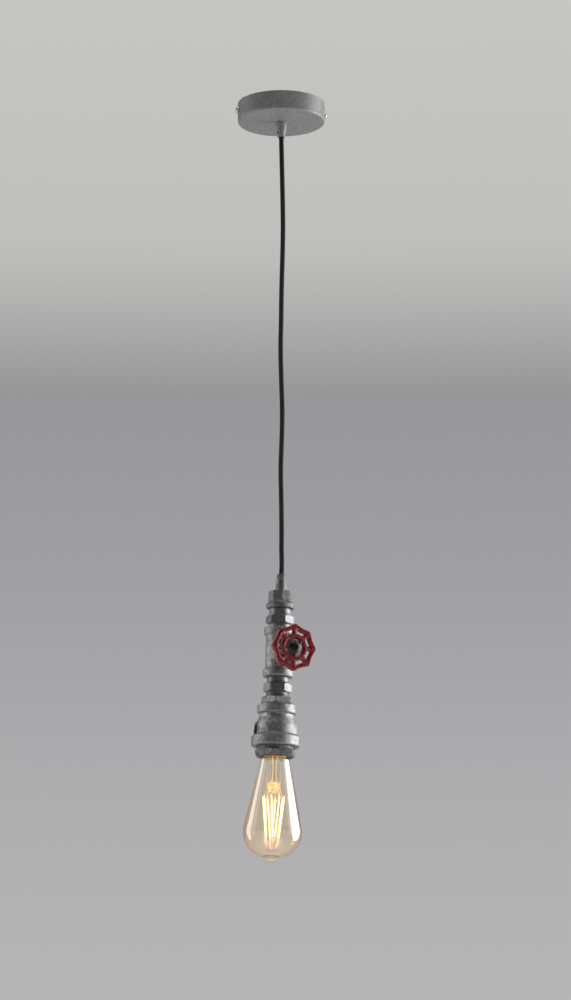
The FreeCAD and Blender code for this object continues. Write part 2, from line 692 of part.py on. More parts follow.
def handwheel():
    """Lobed valve wheel: rounded rim, eight spokes to a ring, three spokes to the hub."""
    middle = (WHEEL_BACK + WHEEL_FRONT) / 2
    thickness = Vector(0, 0, WHEEL_FRONT - WHEEL_BACK)
    rim = Part.Face(lobed_outline(0.0, WHEEL_FRONT)).extrude(thickness)
    rim = rim.cut(Part.Face(lobed_outline(RIM_WIDTH, WHEEL_FRONT)).extrude(thickness))
    rim = rim.makeChamfer(0.8, [e for e in rim.Edges if e.BoundBox.ZLength < 1e-6])
    ring = lathed([
        (RING_INNER + 0.8, WHEEL_BACK + 0.2),
        (RING_OUTER - 0.8, WHEEL_BACK + 0.2),
        (RING_OUTER, WHEEL_BACK + 1.0),
        (RING_OUTER, WHEEL_FRONT - 1.0),
        (RING_OUTER - 0.8, WHEEL_FRONT - 0.2),
        (RING_INNER + 0.8, WHEEL_FRONT - 0.2),
        (RING_INNER, WHEEL_FRONT - 1.0),
        (RING_INNER, WHEEL_BACK + 1.0),
    ])
    hub = lathed([
        (0, HUB_BACK),
        (HUB_RADIUS - 0.6, HUB_BACK),
        (HUB_RADIUS, middle),
        (HUB_RADIUS - 0.8, HUB_FRONT),
        (0, HUB_FRONT),
    ])
    spokes = [spoke(HUB_RADIUS - 2, RING_INNER + 1, -a - LOBE_TURN, middle) for a in HUB_SPOKES]
    for i in range(LOBES):
        spokes.append(spoke(RING_INNER + 1, WHEEL_RADIUS - LOBE_RADIUS, 360 * i / LOBES, middle))
    wheel = rim.fuse([ring, hub] + spokes)
    wheel = wheel.cut(rod(2.7, HUB_BACK - 1, HUB_FRONT + 1))
    wheel.rotate(Vector(), Vector(0, 0, 1), LOBE_TURN)
    return wheel


def wheel_washer():
    return pipe(4.3, 1.6, HUB_FRONT, HUB_FRONT + 0.7)


def wheel_screw():
    top = HUB_FRONT + 0.7
    screw = lathed([
        (0, HUB_FRONT - 5.0),
        (1.15, HUB_FRONT - 5.0),
        (1.15, top),
        (3.7, top),
        (3.7, top + 2.0, 0.9),
        (0, top + 2.0),
    ])
    return screw.cut(rod(1.2, top + 0.8, top + 3))


# Lampholder

def holder_tube():
    return pipe(STUD_RADIUS, 3.4, 147.8, 167.0)


def holder_nuts():
    nuts = []
    for top, bottom, ends in ((148.3, 152.0, "top"), (157.0, HOLDER_TOP, "bottom")):
        nuts.append(nut_bar(6, 14.0, top, bottom, 20.0, ends).cut(rod(STUD_HOLE, top - 1, bottom + 1)))
    return Part.makeCompound(nuts)


def lampholder_cap():
    """Domed upper half of the lampholder, screwed to the threaded tube."""
    return lathed([
        (STUD_HOLE, HOLDER_TOP),
        (8.2, HOLDER_TOP),
        (8.8, 163.5),
        (13.6, 164.6),
        (HOLDER_RADIUS, 167.4),
        (HOLDER_RADIUS, 173.0),
        (HOLDER_RADIUS - 1.1, 173.0),
        (HOLDER_RADIUS - 1.1, 168.5),
        (STUD_HOLE, 168.5),
    ])


def lampholder_insert():
    """Insulating disc that carries the contacts."""
    disc = pipe(14.4, 2.2, 170.5, 173.9)
    for side in (-1, 1):
        disc = disc.cut(Part.makeCylinder(1.3, 10, Vector(side * 8.5, 0, -178)))
    return disc


def lampholder_skirt():
    """Lower half of the lampholder, a plain collar round the threaded shell."""
    return lathed([
        (14.75, 173.1),
        (HOLDER_RADIUS, 173.1),
        (HOLDER_RADIUS, HOLDER_BOTTOM, 0.4),
        (14.75, HOLDER_BOTTOM),
    ])


def threaded_shell():
    """Screw shell that takes the bulb's cap."""
    return lathed([(13.75, 176.4), (14.6, 176.4), (14.6, 198.6), (13.75, 198.6)])


def centre_contact():
    """Spring tongue that presses on the bulb's centre contact, held by a rivet."""
    strip = [(-8.0, -174.0), (8.0, -174.0), (8.0, -174.5), (2.5, -174.5, 0.0), (2.5, -175.6, 0.0)]
    strip += [(-2.5, -175.6), (-2.5, -174.5), (-8.0, -174.5)]
    tongue = Part.Face(outline(strip)).extrude(Vector(0, 4.0, 0))
    tongue.translate(Vector(0, -2.0, 0))
    return tongue


def shell_contact():
    """Brass strip from a terminal to the threaded shell."""
    strip = Part.makeBox(3.0, 1.0, 2.3, Vector(-1.5, 10.2, -176.3))
    foot = Part.makeBox(3.0, 3.4, 0.6, Vector(-1.5, 10.9, -176.3))
    return strip.fuse(foot).removeSplitter()


def holder_terminals():
    """Two brass terminals on the insulating disc, under the dome."""
    blocks = []
    for side in (-1, 1):
        stem = Part.makeCylinder(1.2, 4.6, Vector(side * 8.5, 0, -173.8))
        head = Part.makeCylinder(1.9, 1.2, Vector(side * 8.5, 0, -170.4))
        blocks.append(stem.fuse(head).removeSplitter())
    return Part.makeCompound(blocks)


# Bulb

def bulb_glass():
    """Long pear-shaped glass with straight sides, a round bottom and a sealed pip."""
    inner_corner = GLASS_DOME_CORNER - 1.19 * GLASS_WALL
    return lathed([
        (12.5, 199.5),
        (12.5, BULB_CAP_BOTTOM),
        (GLASS_SHOULDER_RADIUS, GLASS_SHOULDER, 2.6),
        (GLASS_DOME_CORNER, GLASS_DOME, GLASS_DOME_ROUNDING),
        (PIP_RADIUS, GLASS_BASE, 0.6),
        (PIP_RADIUS, BULB_TIP, 4.0),
        (0, BULB_TIP),
        (0, GLASS_BASE + 0.3),
        (inner_corner, GLASS_DOME - 0.82 * GLASS_WALL, GLASS_DOME_ROUNDING - GLASS_WALL),
        (GLASS_SHOULDER_RADIUS - GLASS_WALL, GLASS_SHOULDER + 0.4, 2.0),
        (12.5 - GLASS_WALL, BULB_CAP_BOTTOM + 0.3),
        (12.5 - GLASS_WALL, 199.5),
    ])


def bulb_cap():
    """Brass screw cap of the bulb."""
    wall = 0.45
    return lathed([
        (9.5, 178.6),
        (12.0, 178.6),
        (BULB_CAP_RADIUS, 180.2),
        (BULB_CAP_RADIUS, BULB_CAP_BOTTOM - 0.2),
        (BULB_CAP_RADIUS - wall, BULB_CAP_BOTTOM - 0.2),
        (BULB_CAP_RADIUS - wall, 180.4),
        (11.8, 179.1),
        (9.5, 179.1),
    ])


def bulb_insulator():
    """Black glass between the cap and the centre contact."""
    return lathed([(5.1, 176.9), (6.4, 176.9), (9.4, 178.4), (9.4, 179.6), (5.1, 179.6)])


def bulb_contact():
    """Centre contact at the bulb's end."""
    return lathed([(0, BULB_TOP), (3.4, BULB_TOP, 0.8), (4.8, 176.9), (4.8, 178.6), (0, 178.6)])


def bulb_driver():
    """Small driver board with its parts, inside the cap."""
    board = Part.makeBox(19.0, 1.2, 14.0, Vector(-9.5, -0.6, -196.0))
    capacitor = Part.makeCylinder(3.4, 9.0, Vector(4.0, -3.8, -194.0))
    chip = Part.makeBox(6.0, 1.8, 5.0, Vector(-7.0, -2.4, -192.0))
    return board.fuse([capacitor, chip]).removeSplitter()


def glass_stem():
    """Flared glass tube fused in the neck, drawn out to a rod that carries the filaments."""
    return lathed([
        (0, 200.5),
        (11.5, 200.5),
        (4.4, 208.5, 4.0),
        (4.4, 230.5),
        (6.0, 233.5),
        (5.4, 240.5, 1.5),
        (1.4, 242.0),
        (1.4, SUPPORT_FOOT + 1.5),
        (0, SUPPORT_FOOT + 1.5),
    ])


def filament_ends(i):
    """Top and bottom of one filament strip: each leans round the axis as it drops."""
    high = 22.5 + 360 * i / FILAMENTS
    twist = 14.0 if i % 2 else -14.0
    top = heading(high, FILAMENT_TOP_RADIUS, -FILAMENT_TOP)
    bottom = heading(high + twist, FILAMENT_BOTTOM_RADIUS, -FILAMENT_BOTTOM)
    return top, bottom


def filaments():
    strips = []
    for i in range(FILAMENTS):
        top, bottom = filament_ends(i)
        aim = bottom - top
        strips.append(Part.makeCylinder(FILAMENT_RADIUS, aim.Length, top, aim))
    return Part.makeCompound(strips)


def filament_supports():
    """Wires from the stem to the strips' upper ends and from their lower ends back to the rod."""
    wires = []
    for i in range(FILAMENTS):
        top, bottom = filament_ends(i)
        root = Vector(top.x, top.y, 0).normalize() * 3.2 + Vector(0, 0, -226.5)
        if i % 2 == 0:
            high = top + (root - top).normalize() * WIRE_GAP
            aim = high - root
            wires.append(Part.makeCylinder(0.35, aim.Length * 0.88, root + aim * 0.12, aim))
        foot = Vector(bottom.x, bottom.y, 0).normalize() * 1.6 + Vector(0, 0, -SUPPORT_FOOT)
        low = bottom + (foot - bottom).normalize() * WIRE_GAP
        aim = foot - low
        wires.append(Part.makeCylinder(0.35, aim.Length, low, aim))
    return Part.makeCompound(wires)


ROOT_PARTS = {
    "ceiling_bracket": ceiling_bracket,
    "canopy_cup": canopy_cup,
    "canopy_side_screws": canopy_side_screws,
    "canopy_cord_grip": canopy_cord_grip,
    "canopy_grip_screw": canopy_grip_screw,
    "canopy_grip_washer": canopy_grip_washer,
    "canopy_grip_nut": canopy_grip_nut,
    "terminal_block": terminal_block,
    "earth_screw": earth_screw,
    "canopy_cores": canopy_cores,
    "cord_in_canopy": cord_in_canopy,
    "cord_upper": cord_upper,
    "cord_main": cord_main,
}
FIXTURE_PARTS = {
    "cord_tail": cord_tail,
    "fixture_cord_grip": fixture_cord_grip,
    "fixture_grip_screw": fixture_grip_screw,
    "fixture_grip_nut": fixture_grip_nut,
    "octagon_cap": octagon_cap,
    "upper_nipple": upper_nipple,
    "valve_tee": valve_tee,
    "lower_nipple": lower_nipple,
    "reducing_bush": reducing_bush,
    "big_tee": big_tee,
    "mouth_bush": mouth_bush,
    "holder_tube": holder_tube,
    "holder_nuts": holder_nuts,
    "lampholder_cap": lampholder_cap,
    "lampholder_insert": lampholder_insert,
    "lampholder_skirt": lampholder_skirt,
    "threaded_shell": threaded_shell,
    "centre_contact": centre_contact,
    "shell_contact": shell_contact,
    "holder_terminals": holder_terminals,
    "bulb_glass": bulb_glass,
    "bulb_cap": bulb_cap,
    "bulb_insulator": bulb_insulator,
    "bulb_contact": bulb_contact,
    "bulb_driver": bulb_driver,
    "glass_stem": glass_stem,
    "filaments": filaments,
    "filament_supports": filament_supports,
}
BRANCH_PARTS = {
    "branch_plug": branch_plug,
    "gland_nut": gland_nut,
    "spindle": spindle,
    "handwheel": handwheel,
    "wheel_washer": wheel_washer,
    "wheel_screw": wheel_screw,
}

os.makedirs("parts", exist_ok=True)
for name, make in ROOT_PARTS.items():
    make().exportStep(f"parts/{name}.step")
for name, make in FIXTURE_PARTS.items():
    hung(make()).exportStep(f"parts/{name}.step")
for name, make in BRANCH_PARTS.items():
    hung(out_along(make(), BRANCH_HEADING, BRANCH_DEPTH)).exportStep(f"parts/{name}.step")
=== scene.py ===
import json
import math

import bmesh
import bpy
import numpy as np
from mathutils import Euler, Matrix, Vector, noise


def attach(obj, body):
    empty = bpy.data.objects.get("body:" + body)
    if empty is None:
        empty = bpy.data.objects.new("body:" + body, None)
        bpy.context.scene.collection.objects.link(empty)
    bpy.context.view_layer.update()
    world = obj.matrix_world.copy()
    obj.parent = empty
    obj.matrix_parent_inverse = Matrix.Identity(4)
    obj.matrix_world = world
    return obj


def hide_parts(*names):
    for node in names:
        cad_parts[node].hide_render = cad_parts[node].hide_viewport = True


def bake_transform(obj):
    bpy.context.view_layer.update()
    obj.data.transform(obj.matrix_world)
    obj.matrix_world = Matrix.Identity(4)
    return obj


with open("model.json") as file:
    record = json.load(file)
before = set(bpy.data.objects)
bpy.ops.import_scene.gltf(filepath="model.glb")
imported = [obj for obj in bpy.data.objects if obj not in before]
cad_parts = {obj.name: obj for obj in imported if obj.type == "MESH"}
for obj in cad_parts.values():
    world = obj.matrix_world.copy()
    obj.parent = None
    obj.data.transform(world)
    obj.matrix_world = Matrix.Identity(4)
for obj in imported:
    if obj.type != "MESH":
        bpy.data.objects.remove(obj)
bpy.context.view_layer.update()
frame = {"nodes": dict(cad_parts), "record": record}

# Pendant lamp of pipe fittings on a cloth-covered cord.
# Metres in the row frame. Pieces of the fixture are drawn in millimetres, hanging straight down,
# at depths below the fixture's top, and are then leant as the fixture hangs.

MM = 0.001

# The cord, in millimetres: its route, as in the part's source, its radius, the height of the seam
# between its two lengths, and how deep it ends inside the fittings
CORD_ROUTE = [
    (0.0, 0.0, -12.3),
    (0.0, 0.0, -27.0),
    (0.0, 0.0, -41.5),
    (0.4, -0.5, -63.0),
    (0.8, -1.0, -86.0),
    (1.5, -1.0, -117.0),
    (2.1, -0.2, -150.0),
    (1.6, 0.9, -184.0),
    (0.5, 0.9, -221.0),
    (0.0, 0.1, -256.0),
    (-1.0, -0.8, -290.0),
    (-0.1, -1.0, -325.0),
    (1.4, 0.0, -360.0),
    (0.9, 0.8, -393.0),
    (-0.5, 0.9, -427.0),
    (0.2, 0.2, -461.0),
    (0.5, -0.5, -494.0),
    (0.2, -0.8, -518.0),
    (0.66, -0.68, -533.5),
    (0.3, -0.06, -547.5),
]
CORD_RADIUS = 2.65
CORD_SEAM_Z = -69.0
CORD_TAIL = 160.0

# Where the fixture hangs and how it leans, and the heading and depth of the valve's branch
FIXTURE_TOP = Vector(CORD_ROUTE[-1])
LEAN_ANGLE = 2.94
LEAN_HEADING = 210.2
BRANCH_HEADING = 13.3
BRANCH_DEPTH = 87.35

# The photograph's bearing, in degrees
VIEW_BEARING = -11.3


def heading(angle, reach=1.0, z=0.0):
    """The point at that heading, in degrees from -Y towards +X, that far from the axis."""
    turn = math.radians(angle)
    return Vector((reach * math.sin(turn), -reach * math.cos(turn), z))


def fixture_matrix():
    tilt = math.radians(LEAN_ANGLE)
    lean = heading(LEAN_HEADING, math.sin(tilt), -math.cos(tilt))
    turn = Vector((0, 0, -1)).rotation_difference(lean).to_matrix().to_4x4()
    return Matrix.Scale(MM, 4) @ Matrix.Translation(FIXTURE_TOP) @ turn


# Millimetre spaces: the fixture's, its branch with the handwheel's axis as -Z, the bulb's stem
# turned to face as photographed, and the room's
FIXTURE = fixture_matrix()
BRANCH = (
    FIXTURE
    @ Matrix.Translation((0, 0, -BRANCH_DEPTH))
    @ Matrix.Rotation(math.radians(BRANCH_HEADING), 4, "Z")
    @ Matrix.Rotation(math.radians(-90), 4, "X")
)
STEM = FIXTURE @ Matrix.Rotation(math.radians(-11.0), 4, "Z")
ROOM = Matrix.Scale(MM, 4)


# Camera

def make_camera():
    """The photograph's view, from below the fixture."""
    data = bpy.data.cameras.new("camera")
    data.lens = 170.7
    data.clip_end = 100
    camera = bpy.data.objects.new("camera", data)
    camera.location = (-0.9862, -4.9598, -1.78)
    camera.rotation_euler = Euler((math.radians(104.6), 0, math.radians(VIEW_BEARING)))
    bpy.context.scene.collection.objects.link(camera)
    bpy.context.scene.camera = camera


make_camera()


# Node materials

def colour_ramp(tree, value, stops):
    """Colour ramp through (place, colour) stops."""
    node = tree.nodes.new("ShaderNodeValToRGB")
    ramp = node.color_ramp
    while len(ramp.elements) < len(stops):
        ramp.elements.new(0.5)
    for element, (place, colour) in zip(ramp.elements, stops):
        element.position = place
        element.color = (*colour, 1.0)
    tree.links.new(value, node.inputs["Fac"])
    return node.outputs["Color"]


def larger(tree, first, second):
    """The larger of two values."""
    node = tree.nodes.new("ShaderNodeMath")
    node.operation = "MAXIMUM"
    tree.links.new(first, node.inputs[0])
    tree.links.new(second, node.inputs[1])
    return node.outputs["Value"]


class Shader:
    """A material being built: short calls that add nodes and link them."""

    def __init__(self, name):
        self.material = bpy.data.materials.new(name)
        self.material.use_nodes = True
        self.tree = self.material.node_tree
        self.nodes = self.tree.nodes
        self.links = self.tree.links
        self.surface = self.nodes["Principled BSDF"]
        self.place = self.nodes.new("ShaderNodeTexCoord").outputs["Object"]

    def set(self, **values):
        """Sets the surface's sockets: an output is linked, a number or colour is written."""
        for key, value in values.items():
            socket = self.surface.inputs[key.replace("_", " ")]
            if hasattr(value, "is_output"):
                self.links.new(value, socket)
            else:
                socket.default_value = (*value, 1.0) if hasattr(value, "__len__") else value
        return self

    def stretched(self, scale):
        node = self.nodes.new("ShaderNodeMapping")
        node.inputs["Scale"].default_value = scale
        self.links.new(self.place, node.inputs["Vector"])
        return node.outputs["Vector"]

    def noise(self, size, detail=3.0, rough=0.55, place=None):
        """Soft noise whose blotches are about that many millimetres across, from 0 to 1."""
        node = self.nodes.new("ShaderNodeTexNoise")
        node.inputs["Scale"].default_value = 1 / (size * MM)
        node.inputs["Detail"].default_value = detail
        node.inputs["Roughness"].default_value = rough
        self.links.new(place or self.place, node.inputs["Vector"])
        return node.outputs["Fac"]

    def span(self, value, low, high, to_low=0.0, to_high=1.0):
        """Maps the range from low to high onto another."""
        node = self.nodes.new("ShaderNodeMapRange")
        for name, number in (
            ("From Min", low), ("From Max", high), ("To Min", to_low), ("To Max", to_high),
        ):
            node.inputs[name].default_value = number
        self.links.new(value, node.inputs["Value"])
        return node.outputs["Result"]

    def colours(self, value, *stops):
        return colour_ramp(self.tree, value, stops)

    def mix(self, share, first, second):
        """The first colour where share is 0, the second where it is 1."""
        node = self.nodes.new("ShaderNodeMix")
        node.data_type = "RGBA"
        for value, socket in ((share, 0), (first, 6), (second, 7)):
            self.links.new(value, node.inputs[socket])
        return node.outputs[2]

    def depth_share(self, high, low):
        """0 above one height in the room and 1 below another, in metres."""
        node = self.nodes.new("ShaderNodeSeparateXYZ")
        self.links.new(self.place, node.inputs[0])
        return self.span(node.outputs["Z"], high, low)

    def near(self, place, inner, outer):
        """1 within the inner distance of a point and 0 beyond the outer one, in millimetres."""
        node = self.nodes.new("ShaderNodeVectorMath")
        node.operation = "DISTANCE"
        self.links.new(self.place, node.inputs[0])
        node.inputs[1].default_value = place
        return self.span(node.outputs["Value"], inner * MM, outer * MM, 1.0, 0.0)

    def grazing(self):
        """0 where one looks straight at the surface, towards 1 at its rim."""
        return self.nodes.new("ShaderNodeLayerWeight").outputs["Facing"]

    def sum(self, first, second, share):
        """First plus share times second."""
        node = self.nodes.new("ShaderNodeMath")
        node.operation = "MULTIPLY_ADD"
        self.links.new(second, node.inputs[0])
        node.inputs[1].default_value = share
        self.links.new(first, node.inputs[2])
        return node.outputs["Value"]

    def bump(self, height, depth):
        """Bump of that depth in millimetres."""
        node = self.nodes.new("ShaderNodeBump")
        node.inputs["Strength"].default_value = 1.0
        node.inputs["Distance"].default_value = depth * MM
        self.links.new(height, node.inputs["Height"])
        self.links.new(node.outputs["Normal"], self.surface.inputs["Normal"])
        return self


def casting_material(name, dark, pale, rough):
    """Hot-dipped zinc over a casting: mottled dark and pale patches and a fine sandy skin."""
    shader = Shader(name)
    patches = shader.noise(4.0, 4.0, 0.6)
    spots = shader.noise(1.3, 3.0, 0.65)
    sand = shader.noise(0.5, 2.0, 0.6)
    mottle = shader.sum(patches, spots, 0.7)
    dark_zinc = (dark, dark * 1.03, dark)
    pale_zinc = (pale, pale * 1.01, pale * 0.98)
    shader.set(
        Base_Color=shader.colours(mottle, (0.62, dark_zinc), (1.0, pale_zinc)),
        Roughness=shader.span(spots, 0.3, 0.7, rough * 1.2, rough * 0.8),
        Metallic=0.9,
    )
    return shader.bump(shader.sum(sand, spots, 0.9), 0.20).material


def machined_material():
    """Zinc-plated steel of the turned nipples: smoother than the castings, with a faint grain."""
    shader = Shader("machined")
    patches = shader.noise(4.0, 3.0, 0.55)
    lines = shader.noise(0.6, 2.0, 0.5)
    colour = shader.colours(patches, (0.35, (0.17, 0.172, 0.175)), (0.7, (0.29, 0.293, 0.30)))
    rough = shader.span(lines, 0.3, 0.7, 0.34, 0.48)
    shader.set(Base_Color=colour, Roughness=rough, Metallic=0.92)
    return shader.bump(lines, 0.05).material


def canopy_material():
    """Silver-grey paint with a fine hammered grain in cloudy patches."""
    shader = Shader("canopy_metal")
    patches = shader.noise(5.0, 4.0, 0.6)
    grain = shader.noise(1.1, 3.0, 0.65)
    mottle = shader.sum(grain, patches, 0.4)
    shader.set(
        Base_Color=shader.colours(mottle, (0.50, (0.15, 0.15, 0.146)), (0.90, (0.37, 0.37, 0.362))),
        Roughness=shader.span(grain, 0.3, 0.7, 0.42, 0.56),
        Metallic=0.35,
    )
    return shader.bump(grain, 0.10).material


def steel_material(name, colour, rough):
    """Plated or bare steel with faint brushing."""
    shader = Shader(name)
    lines = shader.noise(0.5, 2.0, 0.5, shader.stretched((1.0, 1.0, 0.15)))
    dull = tuple(c * 0.8 for c in colour)
    shader.set(
        Base_Color=shader.colours(lines, (0.3, dull), (0.7, colour)),
        Roughness=shader.span(lines, 0.3, 0.7, rough * 0.8, rough * 1.25),
        Metallic=1.0,
    )
    return shader.bump(lines, 0.01).material


def enamel_material():
    """Glossy red enamel on a cast wheel: a wavy skin with dark pools, and painted shade that makes
    it nearly black round the recessed hub.
    """
    shader = Shader("red_enamel")
    pools = shader.noise(2.4, 3.0, 0.55)
    skin = shader.noise(1.0, 2.0, 0.5)
    bright = shader.colours(pools, (0.38, (0.055, 0.001, 0.002)), (0.62, (0.32, 0.004, 0.010)))
    # Painted shade: the enamel turns nearly black within 7 to 12 mm of the hub, standing in for the
    # shade on the recessed hub and inner spokes.
    hub_shade_colour = shader.colours(pools, (0.3, (0.010, 0.001, 0.001)), (0.7, (0.045, 0.002, 0.004)))
    hub_shade_mask = shader.near(BRANCH @ Vector((0, 0, -40.0)), 7.0, 12.0)
    shader.set(
        Base_Color=shader.mix(hub_shade_mask, bright, hub_shade_colour),
        Roughness=shader.span(skin, 0.3, 0.7, 0.3, 0.45),
        Specular_IOR_Level=0.15,
        Coat_Weight=1.0,
        Coat_Roughness=0.03,
    )
    return shader.bump(skin, 0.22).material


def cloth_material():
    """Black woven cord cover."""
    shader = Shader("cord_cloth")
    fibre = shader.noise(0.25, 2.0, 0.6, shader.stretched((1.0, 1.0, 0.5)))
    colour = shader.colours(fibre, (0.3, (0.003, 0.003, 0.0035)), (0.75, (0.011, 0.011, 0.012)))
    shader.set(Base_Color=colour, Roughness=0.85, Sheen_Weight=0.12, Sheen_Roughness=0.5)
    return shader.bump(fibre, 0.05).material


def plastic_material(name, colour, rough):
    """Plastic, ceramic or lacquer with a faint skin."""
    shader = Shader(name)
    skin = shader.noise(0.5, 2.0, 0.5)
    dull = tuple(c * 0.85 for c in colour)
    shader.set(
        Base_Color=shader.colours(skin, (0.3, dull), (0.7, colour)),
        Roughness=shader.span(skin, 0.3, 0.7, rough * 0.85, rough * 1.2),
    )
    return shader.bump(skin, 0.01).material


def brass_material():
    """Brass, duller where it is tarnished."""
    shader = Shader("brass")
    tarnish = shader.noise(3.0, 4.0, 0.6)
    shader.set(
        Base_Color=shader.colours(tarnish, (0.35, (0.58, 0.36, 0.13)), (0.7, (0.86, 0.60, 0.25))),
        Roughness=shader.span(tarnish, 0.3, 0.7, 0.4, 0.24),
        Metallic=0.85,
    )
    return shader.bump(tarnish, 0.01).material


def amber_glass_material():
    """Thin blown glass with an amber lustre and a faint painted glow standing in for the strips'
    light in it:
    nearly clear at the neck, amber in the bowl, and deeper towards its rims."""
    shader = Shader("amber_glass")
    rim = shader.grazing()
    neck = shader.colours(
        rim, (0.1, (0.99, 0.98, 0.95)), (0.5, (0.98, 0.93, 0.82)), (0.8, (0.90, 0.66, 0.36)))
    bowl = shader.colours(
        rim, (0.1, (0.985, 0.93, 0.83)), (0.5, (0.965, 0.84, 0.64)), (0.8, (0.78, 0.45, 0.18)))
    shader.set(
        Base_Color=shader.mix(shader.depth_share(-0.762, -0.815), neck, bowl),
        Roughness=0.0,
        IOR=1.55,
        Transmission_Weight=1.0,
        Coat_Weight=1.0,
        Coat_Roughness=0.0,
        Coat_IOR=1.75,
        # Painted glow: a faint emission standing in for the strips' light in the glass.
        Emission_Color=(1.0, 0.72, 0.42),
        Emission_Strength=0.025,
    )
    tint = shader.nodes.new("ShaderNodeVolumeAbsorption")
    tint.inputs["Color"].default_value = (0.91, 0.62, 0.14, 1.0)
    tint.inputs["Density"].default_value = 38.0
    shader.links.new(tint.outputs["Volume"], shader.nodes["Material Output"].inputs["Volume"])
    return shader.bump(shader.noise(16.0, 1.0, 0.4), 0.02).material


def press_glass_material():
    """Pressed end of the stem: glass full of folds, with painted light: its amber colour and glow
    stand in for the strips' light on it.
    """
    shader = Shader("press_glass")
    folds = shader.noise(2.0, 2.0, 0.6)
    # Painted light: the amber-to-pale-gold colour and its emission stand in for the strips' light
    # on the pressed glass.
    colour = shader.colours(folds, (0.45, (0.56, 0.31, 0.07)), (0.56, (1.0, 0.92, 0.64)))
    shader.set(Base_Color=colour, Roughness=0.12, IOR=1.5, Transmission_Weight=0.6,
               Emission_Color=colour, Emission_Strength=0.62)
    return shader.bump(folds, 1.5).material


def cement_material():
    """Golden cement that holds the neck in its cap, with a faint painted glow standing in for the
    strips' light on it.
    """
    shader = Shader("cap_cement")
    crumbs = shader.noise(1.6, 3.0, 0.6)
    colour = shader.colours(crumbs, (0.3, (0.50, 0.26, 0.08)), (0.7, (0.86, 0.54, 0.20)))
    # Painted glow: the emission stands in for the strips' light on the cement.
    shader.set(Base_Color=colour, Roughness=0.45, Metallic=0.3,
               Emission_Color=colour, Emission_Strength=0.10)
    return shader.bump(crumbs, 0.3).material


def clear_glass_material():
    """Clear glass of the stem, faintly warm."""
    shader = Shader("clear_glass")
    waves = shader.noise(5.0, 1.0, 0.4)
    colour = shader.colours(waves, (0.3, (0.98, 0.92, 0.80)), (0.7, (0.995, 0.97, 0.90)))
    shader.set(Base_Color=colour, Roughness=0.02, IOR=1.5, Transmission_Weight=1.0)
    return shader.bump(waves, 0.05).material


def wire_material(name, glow):
    """Gilded wire or tab, with a painted glow of the given strength standing in for the strips'
    light on it.
    """
    shader = Shader(name)
    lines = shader.noise(0.6, 2.0, 0.5)
    colour = shader.colours(lines, (0.3, (0.66, 0.50, 0.28)), (0.7, (0.95, 0.80, 0.55)))
    # Painted glow: the emission stands in for the strips' light on the wires.
    shader.set(Base_Color=colour, Roughness=0.3, Metallic=0.6,
               Emission_Color=colour, Emission_Strength=glow)
    return shader.bump(lines, 0.02).material


def filament_material(name, core, halo, strength, opacity=1.0):
    """Lit phosphor coat over the row of chips."""
    shader = Shader(name)
    chips = shader.noise(0.8, 1.0, 0.4)
    glow = shader.colours(chips, (0.35, halo), (0.65, core))
    shader.set(Base_Color=(0.9, 0.6, 0.2), Roughness=0.5, Emission_Color=glow,
               Emission_Strength=strength, Alpha=opacity)
    return shader.material


MATERIALS = {
    "canopy_metal": canopy_material(),
    "galvanised": casting_material("casting", 0.15, 0.37, 0.42),
    # A darker, rougher copy of the casting: the cap and cord grip are darker zinc, and on the mouth
    # bush the darkness is painted shade.
    "dull_zinc_and_shade": casting_material("dull_casting_and_shade", 0.08, 0.25, 0.50),
    "machined": machined_material(),
    "plated_steel": steel_material("plated_steel", (0.62, 0.62, 0.60), 0.3),
    "dark_steel": steel_material("dark_steel", (0.035, 0.033, 0.033), 0.35),
    "red_enamel": enamel_material(),
    "cord_cloth": cloth_material(),
    "core_insulation": plastic_material("core_insulation", (0.16, 0.07, 0.03), 0.45),
    "core_blue": plastic_material("core_blue", (0.02, 0.10, 0.42), 0.45),
    "core_earth": plastic_material("core_earth", (0.20, 0.42, 0.04), 0.45),
    "terminal_plastic": plastic_material("terminal_plastic", (0.78, 0.77, 0.72), 0.4),
    "holder_plastic": plastic_material("holder_plastic", (0.014, 0.013, 0.013), 0.25),
    "insert_ceramic": plastic_material("insert_ceramic", (0.72, 0.70, 0.63), 0.35),
    "brass": brass_material(),
    "solder": steel_material("solder", (0.66, 0.66, 0.66), 0.4),
    "amber_glass": amber_glass_material(),
    "clear_glass": clear_glass_material(),
    "black_glass": plastic_material("black_glass", (0.01, 0.01, 0.012), 0.15),
    "driver_board": plastic_material("driver_board", (0.03, 0.16, 0.06), 0.4),
    "filament_coat": filament_material(
        "filament_coat", (1.0, 0.86, 0.62), (1.0, 0.82, 0.54), 4.0),
    "filament_halo": filament_material(
        "filament_halo", (1.0, 0.58, 0.18), (1.0, 0.50, 0.12), 1.1, 0.3),
    "press_glass": press_glass_material(),
    "cap_cement": cement_material(),
    # Both glow with painted light standing in for the strips' light on them.
    "support_wire": wire_material("support_wire", 0.5),
    "lit_tab": wire_material("lit_tab", 1.0),
}


# Mesh tools

def piece(name, mesh, slot, body=None, replaces=(), material=None):
    """Puts a finished mesh in the scene as a piece, in its own material or its slot's."""
    thing = bpy.data.objects.new(name, mesh)
    bpy.context.scene.collection.objects.link(thing)
    mesh.materials.clear()
    mesh.materials.append(MATERIALS[material or slot])
    mesh.shade_smooth()
    if body:
        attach(thing, body)
    if replaces:
        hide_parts(*replaces)
    return thing


